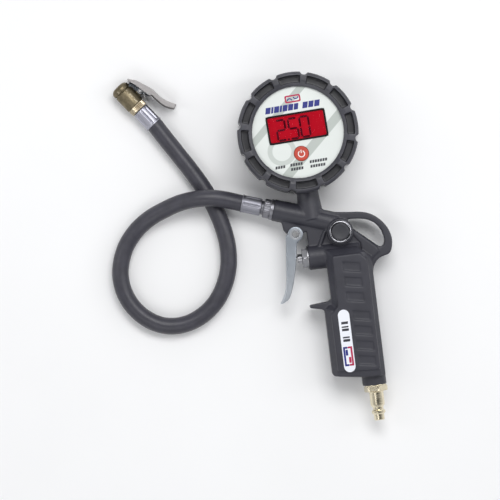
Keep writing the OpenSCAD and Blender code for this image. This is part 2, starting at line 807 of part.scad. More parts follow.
module gun_ferrule() {
    color(aluminium) at_outlet() along_x() translate([0, 0, fitting_neck]) {
        crimped_sleeve(ferrule_len, 6);
        ring(ferrule_bore_r + 0.2, 5.5, 1);
    }
}

module hose() {
    straight = [fitting_neck + ferrule_len - hose_depth, fitting_neck + ferrule_len - 1,
        fitting_neck + ferrule_len];
    shoulder = 0.9;
    path = concat([for (t = straight) on_outlet(t)], [on_outlet(straight[2] + shoulder)],
        loose_route,
        [on_chuck(-shoulder), on_chuck(0), on_chuck(1), on_chuck(hose_depth)]);
    last = len(path) - 1;
    inside_r = ferrule_bore_r - 0.1;
    radii = [for (i = [0:last]) i < 3 || i > last - 3 ? inside_r : hose_r];
    color(rubber_black) place() sweep(path, radii, 12);
}

module chuck_ferrule() {
    color(aluminium) at_chuck() rotate([-90, 0, 0]) crimped_sleeve(chuck_neck - 0.4, 8);
}

// ---------- chuck ----------

module chuck_tail() {
    flutes = 12;
    color(brass) at_chuck() rotate([-90, 0, 0]) difference() {
        union() {
            translate([0, 0, 2]) cylinder(r = barb_r, h = chuck_neck);
            translate([0, 0, chuck_neck - 0.4]) cylinder(r = 5.4, h = 1);
            translate([0, 0, chuck_neck]) cylinder(r = 7.2, h = chuck_foot - chuck_neck);
            translate([0, 0, chuck_foot - 1]) cylinder(r = 5.05, h = 4);
        }
        cylinder(r = 1.5, h = 40);
        for (i = [0:flutes - 1])
            rotate([0, 0, i * 360 / flutes]) translate([7.7, 0, chuck_neck - 1])
                cylinder(r = 0.9, h = chuck_foot - chuck_neck + 1);
    }
}

module chuck_body() {
    lower_r = 5.1;
    groove_r = chuck_r - 0.8;
    boss_r = 2.3;
    boss_half_t = 1.6;
    color(brass) at_chuck() difference() {
        union() {
            rotate([-90, 0, 0]) rotate_extrude() polygon([[mouth_r + 0.5, mouth_y],
                [6.2, mouth_y - 0.8], [chuck_r, mouth_y - 2.6], [chuck_r, mouth_y - 5.2],
                [groove_r, mouth_y - 5.5], [groove_r, mouth_y - 6.2],
                [chuck_r, mouth_y - 6.5], [chuck_r, chuck_foot + 0.5],
                [chuck_r - 0.5, chuck_foot], [lower_r, chuck_foot], [lower_r, seal_top],
                [mouth_r, seal_top], [mouth_r, mouth_y - 0.5]]);
            translate([lever_pivot.x, lever_pivot.y, -boss_half_t])
                cylinder(r = boss_r, h = 2 * boss_half_t);
            translate([5.6, lever_pivot.y - boss_r, -boss_half_t])
                cube([lever_pivot.x - 5.6, 2 * boss_r, 2 * boss_half_t]);
        }
        translate([lever_pivot.x, lever_pivot.y, -5]) cylinder(r = lever_pin_r, h = 10);
        translate([3, mouth_y - 7, -1.9]) cube([6, 4.2, 3.8]);
    }
}

module chuck_seal() {
    color(rubber_black) at_chuck() rotate([-90, 0, 0]) translate([0, 0, seal_top - 2.6])
        ring(5.05, 1.9, 2.6);
}

module core_pin() {
    disc_y = seal_top - 3.6;
    color(brass) at_chuck() rotate([-90, 0, 0]) difference() {
        union() {
            translate([0, 0, disc_y]) cylinder(r = 5.05, h = 1);
            translate([0, 0, disc_y]) cylinder(r = 1.2, h = 3.3);
        }
        for (a = [45:90:315])
            rotate([0, 0, a]) translate([3, 0, disc_y - 1]) cylinder(r = 0.9, h = 3);
    }
}

module chuck_lever() {
    wall = 0.9;
    lip = 0.9;
    lip_end_y = 38;
    lip_fade = 5;
    color(steel) at_chuck() difference() {
        translate([0, 0, -lever_half_w]) linear_extrude(2 * lever_half_w)
            polygon(concat(lever_top, lever_under));
        translate([0, 0, wall - lever_half_w]) linear_extrude(2 * (lever_half_w - wall))
            polygon(concat([for (p = lever_top) p - [wall, 0.35]], [[18, -6], [6, 0], [6, 44]]));
        // The cheek away from the floor is narrower, up to where the lever tapers at its tip
        translate([0, 0, lever_half_w - wall]) linear_extrude(wall + 1)
            polygon(concat(
                [for (p = lever_under) p + [min(lip, (lip_end_y - p.y) / lip_fade), 0]],
                [[6, 44], [6, -6], [19, -6]]));
    }
}

module chuck_jaw() {
    ear = 1;
    ear_in = 1.9;
    finger_half_w = 1.6;
    cheek = [[8.2, 27], [8.9, 34], [12.9, 34], [17, 21.4], [12.6, 19.8], [9.6, 24.9]];
    color([0.3, 0.31, 0.33]) at_chuck() difference() {
        union() {
            for (z = [-ear_in - ear, ear_in]) translate([0, 0, z]) {
                linear_extrude(ear) polygon(cheek);
                translate([lever_pivot.x, lever_pivot.y, 0]) cylinder(r = 2.3, h = ear);
            }
            translate([0, 0, -ear_in - ear]) linear_extrude(2 * (ear_in + ear))
                polygon([[8.9, 32], [8.9, 36.2], [11.8, 36.2], [12.9, 34], [13.5, 32]]);
            translate([0, 0, -finger_half_w]) linear_extrude(2 * finger_half_w)
                polygon([[4.3, 35.9], [4.3, 37.2], [9.4, 38], [11, 36.2], [8.9, 34.8]]);
        }
        translate([lever_pivot.x, lever_pivot.y, -5]) cylinder(r = lever_pin_r + play, h = 10);
    }
}

module lever_pin() {
    color(steel) at_chuck() translate([lever_pivot.x, lever_pivot.y, -5])
        cylinder(r = lever_pin_r, h = 10);
}

module lever_spring() {
    wire_r = 0.35;
    coil = [for (p = helix(1.75, 3.4, 4.6, 2, 10)) p + [lever_pivot.x, lever_pivot.y, 0]];
    path = concat([[9, 19.5, 3.4], [12.1, 24.5, 3.4]], coil,
        [[12.8, 22, 4.6], [14.6, 17, 4.2], [12.8, 13.6, 4.2]]);
    color(steel) at_chuck() sweep(path, [for (p = path) wire_r], 5);
}

// ---------- assembly ----------

gun_body();
handle_label();
trigger();
trigger_pin();
trigger_pin_clip();
gland_nut();
gland_washer();
valve_stem();
stem_seal();
valve_poppet();
poppet_seal();
valve_spring();
bleed_ring();
bleed_button();
bleed_stem();
bleed_seal();
bleed_spring();
inlet_plug();
inlet_washer();
gauge_boot();
gauge_case();
gauge_bezel();
face_plate();
display_frame();
display_window();
display_panel();
power_button();
circuit_board();
battery_cells();
battery_cover();
case_screws();
pressure_sensor();
gauge_socket();
socket_seal();
outlet_fitting();
gun_ferrule();
hose();
chuck_ferrule();
chuck_tail();
chuck_body();
chuck_seal();
core_pin();
chuck_jaw();
chuck_lever();
lever_pin();
lever_spring();
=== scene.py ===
"""Looks of the tyre inflator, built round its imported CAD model. Lengths are in millimetres
about the gauge centre, as in part.scad, and become metres in the row frame in gun()."""

import math

import bmesh
import bpy
from mathutils import Matrix, Vector


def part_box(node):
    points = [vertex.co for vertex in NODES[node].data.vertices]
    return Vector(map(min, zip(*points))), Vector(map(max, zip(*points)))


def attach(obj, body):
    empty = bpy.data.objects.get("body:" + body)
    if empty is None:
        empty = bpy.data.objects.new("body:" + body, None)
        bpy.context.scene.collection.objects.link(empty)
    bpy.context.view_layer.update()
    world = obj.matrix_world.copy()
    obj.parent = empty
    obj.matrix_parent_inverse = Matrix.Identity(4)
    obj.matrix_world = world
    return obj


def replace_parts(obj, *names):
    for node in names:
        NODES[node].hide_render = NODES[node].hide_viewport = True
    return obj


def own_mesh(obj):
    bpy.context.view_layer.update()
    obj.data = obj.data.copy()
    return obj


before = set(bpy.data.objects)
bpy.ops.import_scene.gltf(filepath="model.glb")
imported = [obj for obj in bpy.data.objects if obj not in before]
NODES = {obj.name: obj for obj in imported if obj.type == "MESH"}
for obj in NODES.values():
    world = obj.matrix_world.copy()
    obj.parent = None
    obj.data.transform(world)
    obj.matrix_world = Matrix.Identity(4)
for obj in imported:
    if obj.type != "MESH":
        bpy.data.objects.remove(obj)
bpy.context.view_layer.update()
TAU = 2 * math.pi

# ---------- places, as in part.scad ----------

ORIGIN = Vector((8.2, -93.8, 0))
MID_Z = 17
OUTLET_FACE, OUTLET_RISE = (-26.6, -58.6), 19
PIVOT = (-11.5, -80)
VALVE_Y = -100
BUTTON_AT = (24.1, -82.4)
INLET_AT = (37.4, -207.3)
GAUGE_TURN = 2.5
CHUCK_BASE, CHUCK_LEAN, CHUCK_R = (-113.3, 21.4), 37, 7.8
HOSE_R = 6.7
TAIL_R = 5.5
SLEEVE_R = 7
PLUG_R = 5.7
THREAD_R = 6.45
RING_R = 9.1
BUTTON_R = 7
POWER_R, POWER_DOWN = 5.8, 17.1
DISPLAY_W, DISPLAY_H, DISPLAY_UP = 47.2, 22.3, 4.5
PLATE_TOP = 38.1
POCKET_FLOOR, POCKET_R, POCKET_HALF_W = 36, 42.1, 3.4
TRIGGER_TOP = 24.5
LABEL_AT, LABEL_TOP = (18.4, -169.2), 34.4

LOOSE_ROUTE = [
    (-66, -45, 19.4), (-76, -43, 20.6), (-88, -42.5, 19.5), (-101, -44, 16),
    (-114, -48, 12), (-126, -53, 8.8), (-137, -60.5, 7), (-146, -70.5, 6.7), (-152, -82, 6.7),
    (-155, -95, 6.7), (-154, -108, 6.7), (-149, -120.5, 6.7), (-140, -131.5, 6.7),
    (-128, -139, 6.7), (-115, -141.5, 6.7), (-102, -139.5, 6.7), (-90, -133.5, 6.7),
    (-80, -124.5, 6.7), (-72.5, -112.5, 6.7), (-68, -99.5, 6.7), (-66.5, -86, 6.7),
    (-67.5, -73, 6.7), (-70.5, -59.5, 6.7), (-75, -46, 6.7), (-81, -32.5, 6.7),
    (-89, -18, 6.7), (-97, -5, 6.8), (-105, 8, 7.2)]


def gun(x, y, z=0.0):
    """Metres in the row frame, from millimetres about the gauge centre."""
    return (Vector((x, y, z)) - ORIGIN) * 0.001


def at(x, y, z=0.0, turn=0.0):
    """Matrix from local millimetres, turned about Z and moved to x, y, z, to the row frame."""
    spin = Matrix.Rotation(math.radians(turn), 4, "Z") @ Matrix.Scale(0.001, 4)
    return Matrix.Translation(gun(x, y, z)) @ spin


ALONG_X = Matrix.Rotation(math.radians(90), 4, "Y")
DOWN_Y = Matrix.Rotation(math.radians(90), 4, "X")
UP_Y = Matrix.Rotation(math.radians(-90), 4, "X")
GAUGE = at(0, 0, 0, GAUGE_TURN)
OUTLET = at(*OUTLET_FACE, MID_Z, 180 - OUTLET_RISE) @ ALONG_X
VALVE = at(0, VALVE_Y, MID_Z) @ ALONG_X
BUTTON = at(*BUTTON_AT)
INLET = at(*INLET_AT, MID_Z) @ DOWN_Y
CHUCK = at(*CHUCK_BASE, CHUCK_R, CHUCK_LEAN)
CHUCK_AXIS = CHUCK @ UP_Y


def on_outlet(t):
    a = math.radians(OUTLET_RISE)
    return (OUTLET_FACE[0] - t * math.cos(a), OUTLET_FACE[1] + t * math.sin(a), MID_Z)


def on_chuck(t):
    a = math.radians(CHUCK_LEAN)
    return (CHUCK_BASE[0] - t * math.sin(a), CHUCK_BASE[1] + t * math.cos(a), CHUCK_R)


# ---------- camera, light and floor ----------

VIEW_TURN = -7.0
VIEW_MIDDLE = Vector((-0.0573, 0.0057, 0.02))
VIEW_SPAN = 0.4
LENS, SENSOR = 200, 36


def make_camera():
    data = bpy.data.cameras.new("camera")
    data.lens = LENS
    data.sensor_width = SENSOR
    cam = bpy.data.objects.new("camera", data)
    cam.location = VIEW_MIDDLE + Vector((0, 0, VIEW_SPAN * LENS / SENSOR))
    cam.rotation_euler = (0, 0, math.radians(VIEW_TURN))
    data.clip_start, data.clip_end = 0.1, 50
    bpy.context.scene.collection.objects.link(cam)
    bpy.context.scene.camera = cam


def area_light(name, direction, distance, size, power):
    """Soft box in a direction given as the view's right, up and out, aimed at the middle."""
    data = bpy.data.lights.new(name, "AREA")
    data.shape = "RECTANGLE"
    data.size, data.size_y = size
    data.energy = power
    lamp = bpy.data.objects.new(name, data)
    away = (Matrix.Rotation(math.radians(VIEW_TURN), 3, "Z") @ Vector(direction)).normalized()
    lamp.location = VIEW_MIDDLE + away * distance
    lamp.rotation_euler = away.to_track_quat("Z", "Y").to_euler()
    bpy.context.scene.collection.objects.link(lamp)


def make_studio():
    world = bpy.data.worlds.new("studio")
    bpy.context.scene.world = world
    world.use_nodes = True
    nodes, links = world.node_tree.nodes, world.node_tree.links
    back = nodes["Background"]
    back.inputs["Color"].default_value = (0.95, 0.97, 1, 1)
    # White round the sides and darker overhead
    height = nodes.new("ShaderNodeSeparateXYZ")
    fade = nodes.new("ShaderNodeMapRange")
    links.new(nodes.new("ShaderNodeTexCoord").outputs["Generated"], height.inputs[0])
    links.new(height.outputs["Z"], fade.inputs["Value"])
    fade.inputs["From Min"].default_value, fade.inputs["From Max"].default_value = 0.25, 0.95
    fade.inputs["To Min"].default_value, fade.inputs["To Max"].default_value = 0.7, 0.06
    links.new(fade.outputs[0], back.inputs["Strength"])
    area_light("key", (0.14, 0.5, 1), 1.4, (1.0, 0.6), 11)
    area_light("front", (-0.2, -0.65, 1), 1.4, (1.1, 0.7), 4)
    area_light("left", (-1, 0.15, 0.9), 1.5, (0.25, 1.1), 3)
    area_light("right", (0.95, 0.2, 0.9), 1.5, (0.25, 1.1), 3.4)
    bpy.context.scene.view_settings.view_transform = "Standard"


# ---------- meshes ----------


def build(name, verts, faces, matrix, body, look, sharp=40, uvs=None):
    """Mesh object from local millimetres, riding on a body."""
    me = bpy.data.meshes.new(name)
    me.from_pydata([matrix @ Vector(v) for v in verts], [], faces)
    if uvs:
        layer = me.uv_layers.new(name="wrap")
        flat = [c for face in uvs for uv in face for c in uv]
        layer.data.foreach_set("uv", flat)
    bm = bmesh.new()
    bm.from_mesh(me)
    bmesh.ops.recalc_face_normals(bm, faces=bm.faces)
    bm.to_mesh(me)
    bm.free()
    me.shade_smooth()
    me.set_sharp_from_angle(angle=math.radians(sharp))
    ob = bpy.data.objects.new(name, me)
    bpy.context.scene.collection.objects.link(ob)
    me.materials.append(look)
    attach(ob, body)
    return ob


# Half angles in degrees between which a corner is rounded, and the share of a side it may use
SHARPEST, FLATTEST = 2, 88
CORNER_SHARE = 0.45


def soften(points, radius, n=3, closed=True):
    """The outline with each corner rounded. A point with three numbers gives its own radius."""
    out = []
    count = len(points)
    for i, p in enumerate(points):
        if not closed and i in (0, count - 1):
            out.append(tuple(p[:2]))
            continue
        r = p[2] if len(p) > 2 else radius
        b = Vector(p[:2])
        u = Vector(points[i - 1][:2]) - b
        v = Vector(points[(i + 1) % count][:2]) - b
        reach_u, reach_v = u.length, v.length
        if r <= 0 or min(reach_u, reach_v) < 1e-6:
            out.append(tuple(b))
            continue
        u.normalize()
        v.normalize()
        half = math.acos(max(-1, min(1, u.dot(v)))) / 2
        if not SHARPEST < math.degrees(half) < FLATTEST:
            out.append(tuple(b))
            continue
        back = min(r / math.tan(half), CORNER_SHARE * reach_u, CORNER_SHARE * reach_v)
        r = back * math.tan(half)
        centre = b + (u + v).normalized() * (r / math.sin(half))
        start = b + u * back - centre
        turn = start.angle_signed(b + v * back - centre)
        for k in range(n + 1):
            a = -turn * k / n
            out.append((centre.x + start.x * math.cos(a) - start.y * math.sin(a),
                        centre.y + start.x * math.sin(a) + start.y * math.cos(a)))
    return out


def lathe(profile, turns, shape, closed):
    """Vertices, faces and UVs of a profile of (height, radius) turned about Z. An open one starts
    and ends on the axis. shape(height, radius, angle) gives the radius there. The UV map is in
    metres, round the piece and along its profile."""
    verts, faces, uvs, rows = [], [], [], []
    for z, r in profile:
        if r < 1e-6:
            rows.append([len(verts)] * turns)
            verts.append((0, 0, z))
            continue
        rows.append(list(range(len(verts), len(verts) + turns)))
        for k in range(turns):
            a = TAU * k / turns
            q = shape(z, r, a) if shape else r
            verts.append((q * math.cos(a), q * math.sin(a), z))
    spans = len(rows) if closed else len(rows) - 1
    round_it = 0.001 * TAU * max(r for z, r in profile) / turns
    run = 0.0
    for i in range(spans):
        a, b = profile[i], profile[(i + 1) % len(rows)]
        low, high = rows[i], rows[(i + 1) % len(rows)]
        step = 0.001 * math.hypot(b[0] - a[0], b[1] - a[1])
        for k in range(turns):
            m = (k + 1) % turns
            loop = [low[k], low[m], high[m], high[k]]
            where = [(k, run), (k + 1, run), (k + 1, run + step), (k, run + step)]
            keep = [j for j, v in enumerate(loop) if v not in loop[:j]]
            if len(keep) > 2:
                faces.append([loop[j] for j in keep])
                uvs.append([(where[j][0] * round_it, where[j][1]) for j in keep])
        run += step
    return verts, faces, uvs


def turned(name, profile, matrix, look, slot, turns, body="root", radius=0.25, closed=True,
           shape=None):
    verts, faces, uvs = lathe(soften(profile, radius, closed=closed), turns, shape, closed)
    return build(name, verts, faces, matrix, body, look, uvs=uvs)


def hexagon(across_corners_r, low, high, start=0.0):
    """Shape function: flats between two heights, cut into whatever the profile gives."""
    inner = across_corners_r * math.cos(math.radians(30))

    def shape(z, r, a):
        if not low - 1e-3 <= z <= high + 1e-3 or r < inner:
            return r
        off_flat = (a - start) % math.radians(60) - math.radians(30)
        return min(r, inner / math.cos(off_flat))
    return shape


def slab(name, outlines, low, high, matrix, look, slot, body="root"):
    """Flat printed or raised shapes: each closed outline stretched from low to high."""
    verts, faces = [], []
    for outline in outlines:
        n, first = len(outline), len(verts)
        verts += [(x, y, z) for z in (low, high) for x, y in outline]
        faces.append(list(range(first, first + n)))
        faces.append(list(range(first + n, first + 2 * n)))
        for k in range(n):
            a, b = first + k, first + (k + 1) % n
            faces.append([a, b, n + b, n + a])
    return build(name, verts, faces, matrix, body, look)


# ---------- materials ----------


# Half the width, in metres, over which a printed edge goes from one colour to the other
SOFT = 3e-4


class Look:
    """A Principled material in object space, with helpers that add texture to it."""

    def __init__(self, name, colour, rough, metal=0.0, **inputs):
        self.mat = bpy.data.materials.new(name)
        self.mat.use_nodes = True
        self.nodes, self.links = self.mat.node_tree.nodes, self.mat.node_tree.links
        self.bsdf = self.nodes["Principled BSDF"]
        self.colour, self.rough = colour, rough
        self.bsdf.inputs["Base Color"].default_value = (*colour, 1)
        self.bsdf.inputs["Roughness"].default_value = rough
        self.bsdf.inputs["Metallic"].default_value = metal
        for key, value in inputs.items():
            self.bsdf.inputs[key.replace("_", " ")].default_value = value
        self.place = self.nodes.new("ShaderNodeTexCoord").outputs["Object"]
        self.paint = None

    def node(self, kind, settings=(), **inputs):
        """New node with its inputs set or linked. An input is given by its name, or as i and its
        number."""
        n = self.nodes.new("ShaderNode" + kind)
        for key, value in dict(settings).items():
            setattr(n, key, value)
        for key, value in inputs.items():
            numbered = key[0] == "i" and key[1:].isdigit()
            socket = n.inputs[int(key[1:]) if numbered else key.replace("_", " ")]
            if isinstance(value, bpy.types.NodeSocket):
                self.links.new(value, socket)
            else:
                socket.default_value = value
        return n

    def noise(self, scale, detail=3.0, stretch=None, turn=0.0, uv=False):
        """Noise of about 1/scale metres, drawn out where stretch is small."""
        source = self.nodes.new("ShaderNodeTexCoord").outputs["UV"] if uv else self.place
        if stretch:
            source = self.node("Mapping", [("vector_type", "TEXTURE")], Vector=source,
                               Rotation=(0, 0, turn), Scale=[1 / s for s in stretch]).outputs[0]
        return self.node("TexNoise", Vector=source, Scale=scale, Detail=detail).outputs["Fac"]

    def ramp(self, value, low, high, out_low=0.0, out_high=1.0):
        return self.node("MapRange", Value=value, From_Min=low, From_Max=high,
                         To_Min=out_low, To_Max=out_high).outputs[0]

    def calc(self, operation, *values):
        """Output of a Math node."""
        inputs = {f"i{k}": value for k, value in enumerate(values)}
        return self.node("Math", [("operation", operation)], **inputs).outputs[0]

    def measure(self, operation, vector):
        """Distance of the place from a point, or its dot product with a direction."""
        return self.node("VectorMath", [("operation", operation)], i0=self.place,
                         i1=vector).outputs["Value"]

    def along(self, axis):
        return self.node("SeparateXYZ", Vector=self.place).outputs[axis]

    def band(self, value, middle, half, amount):
        """The amount where value is within half of the middle, and nothing outside."""
        off = self.calc("ABSOLUTE", self.calc("SUBTRACT", value, middle))
        return self.ramp(off, half - SOFT, half + SOFT, amount, 0)

    def blend(self, amount, colour):
        """Lays colour over what the paint is so far."""
        under = self.paint if self.paint else (*self.colour, 1)
        over = colour if isinstance(colour, bpy.types.NodeSocket) else (*colour, 1)
        mix = self.node("Mix", [("data_type", "RGBA")], i0=amount, i6=under, i7=over)
        self.paint = mix.outputs[2]
        self.links.new(self.paint, self.bsdf.inputs["Base Color"])
        return self

    def mottle(self, scale, share):
        """Slow change of tone, by share either way."""
        amount = self.ramp(self.noise(scale, 4), 0.35, 0.65)
        if self.paint:
            darker = self.node("Mix", [("data_type", "RGBA"), ("blend_type", "MULTIPLY")], i0=1.0,
                               i6=self.paint, i7=(1 - share,) * 3 + (1,)).outputs[2]
            return self.blend(amount, darker)
        self.colour = tuple(c * (1 - share) for c in self.colour)
        return self.blend(amount, tuple(c * (1 + share) / (1 - share) for c in self.colour))

    def stripe(self, point, direction, half, colour):
        """Straight band of colour through a point, in metres."""
        across = Vector((-direction[1], direction[0], 0)).normalized()
        band = self.band(self.measure("DOT_PRODUCT", across), point.dot(across), half, 1.0)
        return self.blend(band, colour)

    def hoop(self, centre, r, half, colour, amount):
        """Round band of colour about a point, in metres."""
        return self.blend(self.band(self.measure("DISTANCE", centre), r, half, amount), colour)

    def sunken_shade(self, centre, r, half, colour, amount):
        """Round band of colour about a point, which fades out above that point, in metres: painted
        shade in hollows.
        """
        band = self.band(self.measure("DISTANCE", centre), r, half, amount)
        low = self.ramp(self.along("Z"), centre.z + 4e-4, centre.z + 3e-3, 1, 0)
        return self.blend(self.calc("MULTIPLY", band, low), colour)

    def disc(self, centre, r, colour, amount):
        """Round patch of colour about a point, in metres."""
        away = self.measure("DISTANCE", centre)
        return self.blend(self.ramp(away, r - 2e-4, r + 2e-4, amount, 0), colour)

    def fade(self, axis, start, end, colour, amount):
        """Colour that comes in from start to end along an axis, in metres."""
        return self.blend(self.ramp(self.along(axis), start, end, 0, amount), colour)

    def wear_and_highlight(self, colour, low, high, amount):
        """Lighter edges, broken up by noise: wear on some pieces, a painted highlight on others."""
        sharpness = self.nodes.new("ShaderNodeNewGeometry").outputs["Pointiness"]
        edge = self.ramp(sharpness, low, high, 0, amount)
        broken = self.ramp(self.noise(900, 4), 0.4, 0.62)
        return self.blend(self.calc("MULTIPLY", edge, broken), colour)

    def uneven(self, scale, by, stretch=None, turn=0.0, uv=False):
        """Roughness that changes by that much either way."""
        value = self.noise(scale, 3, stretch, turn, uv)
        self.links.new(self.ramp(value, 0.3, 0.7, self.rough - by, self.rough + by),
                       self.bsdf.inputs["Roughness"])
        return self

    def bump(self, height, depth, strength=1.0):
        """Relief of depth metres. Calls add up."""
        socket = self.bsdf.inputs["Normal"]
        under = socket.links[0].from_socket if socket.is_linked else None
        n = self.node("Bump", Height=height, Distance=depth, Strength=strength)
        if under:
            self.links.new(under, n.inputs["Normal"])
        self.links.new(n.outputs[0], socket)
        return self

    def grain(self, scale, depth, strength=1.0, **kind):
        return self.bump(self.noise(scale, 3, **kind), depth, strength)


def brushed(name, colour, rough, scale, stretch, turn=0.0, uv=False, depth=1.0e-5):
    """Metal with fine marks drawn out along one direction."""
    look = Look(name, colour, rough, 1.0)
    look.mottle(90, 0.06)
    look.uneven(scale, 0.08, stretch, turn, uv)
    return look.grain(scale * 1.5, depth, 0.5, stretch=stretch, turn=turn, uv=uv)


def machined(name, colour, rough):
    """Metal with the fine rings that a lathe leaves."""
    look = brushed(name, colour, rough, 1500, (0.03, 1, 1), uv=True, depth=6e-6)
    return look.mottle(300, 0.05)


def polished(name, colour, rough):
    look = Look(name, colour, rough, 1.0)
    look.mottle(120, 0.05)
    look.uneven(300, 0.04)
    return look.grain(700, 4e-6, 0.3)


def make_looks():
    looks = {}

    cast = Look("cast_body", (0.031, 0.031, 0.042), 0.47, Specular_IOR_Level=0.5)
    cast.mottle(60, 0.08).wear_and_highlight((0.13, 0.13, 0.15), 0.54, 0.62, 0.5).uneven(500, 0.06)
    looks["cast_body"] = cast.grain(2400, 5e-5, 0.35)

    boot = Look("boot_rubber", (0.042, 0.042, 0.053), 0.38, Specular_IOR_Level=0.55)
    boot.mottle(90, 0.18)
    # Painted shade: the floors of the boot's pockets are darkened, as shade in hollows.
    boot.sunken_shade(gun(0, 0, POCKET_FLOOR), 0.001 * POCKET_R, 0.001 * POCKET_HALF_W,
                (0.013, 0.013, 0.017), 0.75)
    # Lighter edges on the boot: partly dust, partly a painted sheen.
    boot.wear_and_highlight((0.17, 0.17, 0.185), 0.52, 0.59, 0.6).uneven(700, 0.07)
    looks["boot_rubber"] = boot.grain(1800, 5e-5, 0.4)

    hose = Look("hose_rubber", (0.04, 0.039, 0.052), 0.42, Specular_IOR_Level=0.55)
    hose.mottle(140, 0.12).uneven(600, 0.07)
    wrap = hose.noise(80, 3, stretch=(1, 0.3, 1), uv=True)
    looks["hose_rubber"] = hose.bump(wrap, 1.2e-4, 0.3).grain(2600, 3e-5, 0.5)

    seal = Look("seal_rubber", (0.02, 0.02, 0.022), 0.6)
    looks["seal_rubber"] = seal.mottle(200, 0.1).grain(2000, 2e-5)

    trigger = Look("trigger_silver", (0.31, 0.34, 0.38), 0.38, 0.7)
    # Painted shade and light: the trigger goes from darker at the top to lighter at its lower end,
    # as light falls on its rounded section.
    trigger.mottle(50, 0.035).fade("Y", 0.004, -0.034, (0.5, 0.53, 0.57), 0.8)
    trigger.disc(gun(*PIVOT, TRIGGER_TOP), 4.6e-3, (0.42, 0.43, 0.45), 0.7)
    # Painted highlight: near-white on the trigger's rounded edges.
    trigger.wear_and_highlight((0.86, 0.89, 0.93), 0.515, 0.56, 0.85).uneven(500, 0.07)
    looks["trigger_silver"] = trigger.grain(1700, 2.5e-5, 0.4)

    looks["steel"] = polished("steel", (0.5, 0.5, 0.51), 0.3)
    looks["plated_steel"] = machined("plated_steel", (0.4, 0.4, 0.42), 0.34)
    looks["chrome_ring"] = polished("chrome_ring", (0.42, 0.42, 0.45), 0.18)
    looks["dark_steel"] = polished("dark_steel", (0.3, 0.33, 0.37), 0.16)
    looks["outlet_steel"] = machined("outlet_steel", (0.25, 0.25, 0.275), 0.42)
    for name, colour, rough in (("outlet_aluminium", (0.3, 0.3, 0.34), 0.48),
                                ("ferrule_aluminium", (0.42, 0.42, 0.48), 0.44)):
        looks[name] = brushed(name, colour, rough, 1200, (1, 0.05, 1), uv=True)
    looks["lever_steel"] = brushed("lever_steel", (0.36, 0.345, 0.345), 0.4, 1500, (0.25, 1, 1),
                                   math.radians(90 + CHUCK_LEAN), depth=1.6e-5)
    looks["inner_brass"] = polished("inner_brass", (0.72, 0.56, 0.26), 0.26)

    looks["plug_brass"] = machined("plug_brass", (0.8, 0.72, 0.54), 0.22)
    chuck = Look("chuck_brass", (0.175, 0.145, 0.09), 0.46, 1.0)
    chuck.mottle(160, 0.18).wear_and_highlight((0.75, 0.66, 0.5), 0.52, 0.58, 0.5).uneven(350, 0.08)
    looks["chuck_brass"] = chuck.grain(900, 1.2e-5, 0.5)
    knurled = Look("knurl_brass", (0.46, 0.39, 0.28), 0.38, 1.0)
    knurled.mottle(160, 0.1).wear_and_highlight((0.95, 0.9, 0.75), 0.5, 0.56, 0.5).uneven(350, 0.08)
    looks["knurl_brass"] = knurled.grain(900, 1.2e-5, 0.5)

    button = Look("button_black", (0.035, 0.036, 0.043), 0.38)
    looks["button_black"] = button.mottle(150, 0.1).uneven(500, 0.05).grain(2200, 2e-5, 0.4)
    case = Look("case_plastic", (0.035, 0.035, 0.04), 0.5)
    looks["case_plastic"] = case.mottle(100, 0.1).uneven(500, 0.06).grain(1600, 4e-5, 0.5)

    dial = Look("dial_print", (0.73, 0.765, 0.74), 0.42)
    dial.mottle(30, 0.03)
    shade, lean = (0.47, 0.51, 0.48), GAUGE.to_3x3() @ Vector((1, 0.86, 0))
    dial.stripe(GAUGE @ Vector((-14, 16, PLATE_TOP)), lean, 0.0028, shade)
    dial.stripe(GAUGE @ Vector((14, -9, PLATE_TOP)), lean, 0.0036, shade)
    dial.hoop(GAUGE @ Vector((-15, -13, PLATE_TOP)), 0.0095, 0.0019, shade, 0.7)
    looks["dial_print"] = dial.uneven(400, 0.04).grain(3000, 6e-6)
    blue = Look("print_blue", (0.012, 0.02, 0.2), 0.4)
    looks["print_blue"] = blue.mottle(300, 0.08).grain(3000, 6e-6)
    red = Look("print_red", (0.45, 0.012, 0.07), 0.4)
    looks["print_red"] = red.mottle(300, 0.08).grain(3000, 6e-6)
    black = Look("print_black", (0.03, 0.03, 0.04), 0.42)
    looks["print_black"] = black.mottle(300, 0.1).grain(3000, 6e-6)
    label = Look("label", (0.85, 0.87, 0.93), 0.33)
    looks["label"] = label.mottle(50, 0.03).uneven(500, 0.05).grain(1500, 8e-6)

    rim = Look("display_black", (0.01, 0.003, 0.005), 0.5, Specular_IOR_Level=0.15)
    looks["display_black"] = rim.mottle(200, 0.1).uneven(400, 0.04).grain(2000, 1e-5)
    glow = Look("display_red", (0.16, 0, 0.006), 0.5, Specular_IOR_Level=0.1,
                Emission_Color=(1, 0, 0.02, 1), Emission_Strength=0.31)
    looks["display_red"] = glow.mottle(60, 0.08).grain(2500, 6e-6)
    segment = Look("display_segment", (0.03, 0, 0.006), 0.5, Specular_IOR_Level=0.1,
                   Emission_Color=(0.1, 0, 0.01, 1), Emission_Strength=0.3)
    looks["display_segment"] = segment.mottle(200, 0.1)
    glass = Look("display_glass", (0.97, 0.93, 0.93), 0.05, Transmission_Weight=1.0, IOR=1.1)
    looks["display_glass"] = glass.uneven(300, 0.02)
    power = Look("power_red", (0.52, 0.055, 0.03), 0.4)
    looks["power_red"] = power.mottle(200, 0.06).uneven(500, 0.05).grain(1800, 1.5e-5, 0.4)
    mark = Look("power_mark", (0.85, 0.82, 0.8), 0.4)
    looks["power_mark"] = mark.mottle(200, 0.04)

